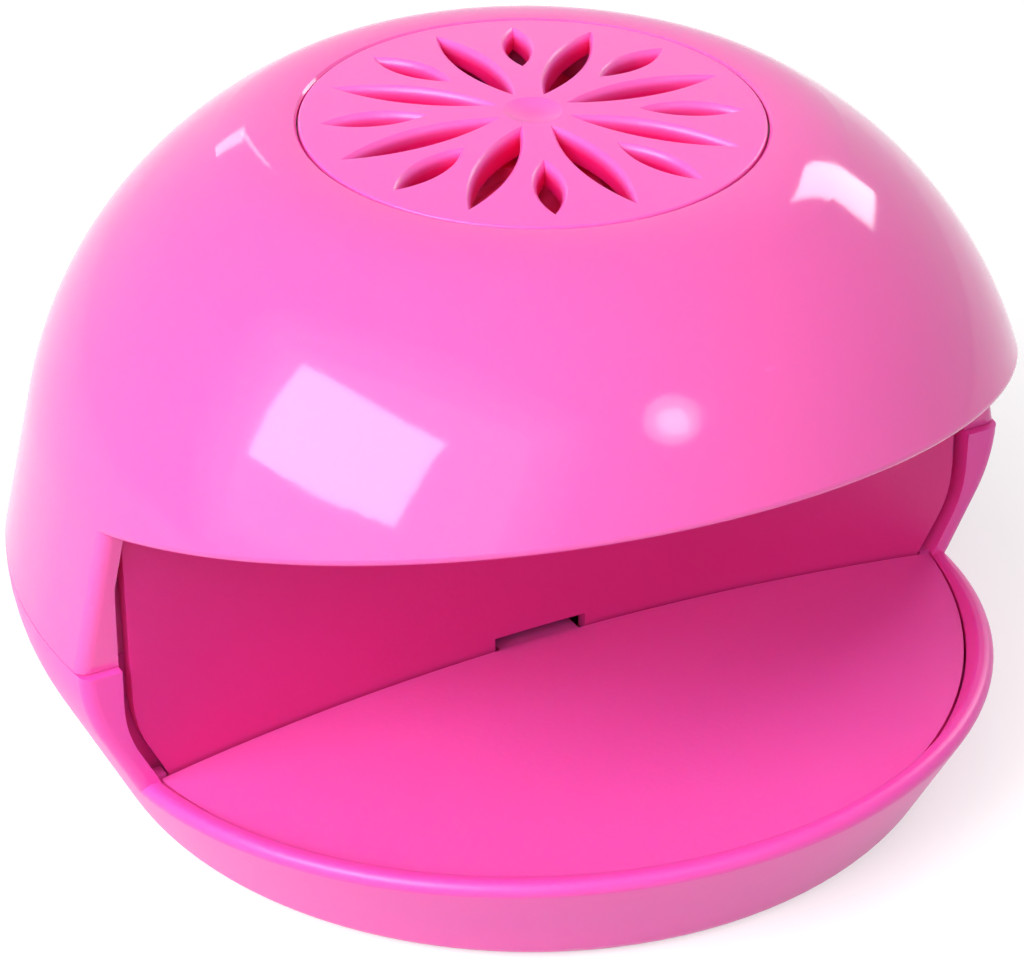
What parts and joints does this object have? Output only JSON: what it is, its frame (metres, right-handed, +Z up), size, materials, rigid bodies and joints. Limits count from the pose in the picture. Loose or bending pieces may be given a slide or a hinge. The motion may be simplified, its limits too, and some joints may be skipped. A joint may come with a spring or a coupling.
{
  "type": "nail polish fan dryer",
  "caption": "Domed desktop fan dryer for nails: a wide finger slot over a press plate that starts a battery fan under a petal vent.",
  "frame": {"origin": "centre of the round underside, on the surface the object stands on", "axes": "+Z up through the vent grille, -Y out of the finger slot, +X along the slot's width"},
  "size_m": [0.11, 0.1063, 0.0709],
  "materials": {
    "pink_gloss": "glossy moulded plastic",
    "pink_satin": "satin moulded plastic",
    "white_plastic": "plain moulded plastic",
    "black_plastic": "plain moulded plastic",
    "zinc_steel": "zinc plated",
    "nickel": "nickel plated spring strip",
    "terminal_brass": "plain",
    "cell_jacket": "plain printed jacket, no marks",
    "red_insulation": "soft insulation",
    "black_insulation": "soft insulation",
    "blue_insulation": "soft insulation"
  },
  "bodies": {
    "housing": {"upper_shell": "pink_gloss", "base_shell": "pink_gloss", "vent_grille": "pink_gloss", "back_wall": "pink_satin", "outlet_panel": "pink_satin", "positive_contact": "nickel", "negative_contact": "nickel", "link_contact": "nickel", "contact_springs": "nickel", "switch_body": "black_plastic", "switch_terminals": "terminal_brass", "motor_bracket": "pink_satin", "motor_can": "zinc_steel", "motor_cap": "white_plastic", "motor_terminals": "terminal_brass", "motor_screws": "zinc_steel", "bracket_screws": "zinc_steel", "panel_screws": "zinc_steel", "case_screws": "zinc_steel", "red_wire": "red_insulation", "black_wire": "black_insulation", "blue_wire": "blue_insulation", "plate_springs": "zinc_steel"},
    "plate": {"press_plate": "pink_satin", "plate_screws": "zinc_steel"},
    "plunger": {"switch_plunger": "white_plastic"},
    "fan": {"fan_impeller": "pink_satin", "motor_shaft": "zinc_steel"},
    "door": {"battery_door": "pink_satin", "door_screw": "zinc_steel"},
    "front_cell": {"battery_1": "cell_jacket"},
    "rear_cell": {"battery_2": "cell_jacket"}
  },
  "joints": [
    {"name": "plate_press", "type": "slide", "parent": "housing", "child": "plate", "axis": [0, 0, -1], "range_m": [0, 0.0012], "stiffness_N_per_m": 500, "springref_m": -0.001, "deforming": ["plate_springs"]},
    {"name": "plunger_press", "type": "slide", "parent": "housing", "child": "plunger", "axis": [0, 0, -1], "range_m": [0, 0.0012]},
    {"name": "fan_spin", "type": "hinge", "parent": "housing", "child": "fan", "pos_m": [0, 0, 0.06], "axis": [0, 0, 1], "continuous": true},
    {"name": "door_lift", "type": "slide", "parent": "housing", "child": "door", "axis": [0, 0, -1], "range_m": [0, 0.06]},
    {"name": "front_cell_drop", "type": "slide", "parent": "housing", "child": "front_cell", "axis": [0, 0, -1], "range_m": [0, 0.03]},
    {"name": "rear_cell_drop", "type": "slide", "parent": "housing", "child": "rear_cell", "axis": [0, 0, -1], "range_m": [0, 0.03]}
  ],
  "couplings": [
    {"joint": "plunger_press", "follows": "plate_press", "ratio": 1},
    {"joint": "front_cell_drop", "follows": "door_lift", "ratio": 0.5},
    {"joint": "rear_cell_drop", "follows": "door_lift", "ratio": 0.5}
  ]
}
